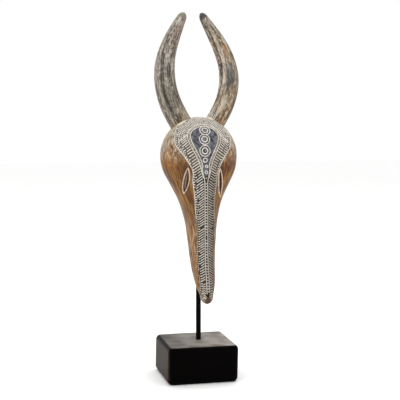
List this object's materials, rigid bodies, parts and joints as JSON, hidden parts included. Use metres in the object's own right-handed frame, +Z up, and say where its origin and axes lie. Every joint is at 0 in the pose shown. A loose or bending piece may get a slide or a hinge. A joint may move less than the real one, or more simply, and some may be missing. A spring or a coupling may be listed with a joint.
{
  "type": "antelope mask on a stand",
  "caption": "Carved and painted wooden antelope head with two swept horns, held upright on a rod in a black block, for display.",
  "frame": {"origin": "centre of the block's underside, on the surface that it stands on", "axes": "+Z up along the rod, the face looks along -Y, +X to the viewer's right"},
  "size_m": [0.1174, 0.103, 0.4998],
  "materials": {
    "base": "satin black paint over close-grained wood",
    "rod": "satin black paint on steel",
    "head": "streaky brown stained and waxed wood with a cream and charcoal painted pattern",
    "left_horn": "weathered grey-brown wood with rubbed cream and charcoal paint",
    "right_horn": "weathered tan wood with rubbed cream and charcoal paint"
  },
  "bodies": {
    "root": {"base": "base", "rod": "rod", "head": "head", "left_horn": "left_horn", "right_horn": "right_horn"}
  },
  "joints": []
}
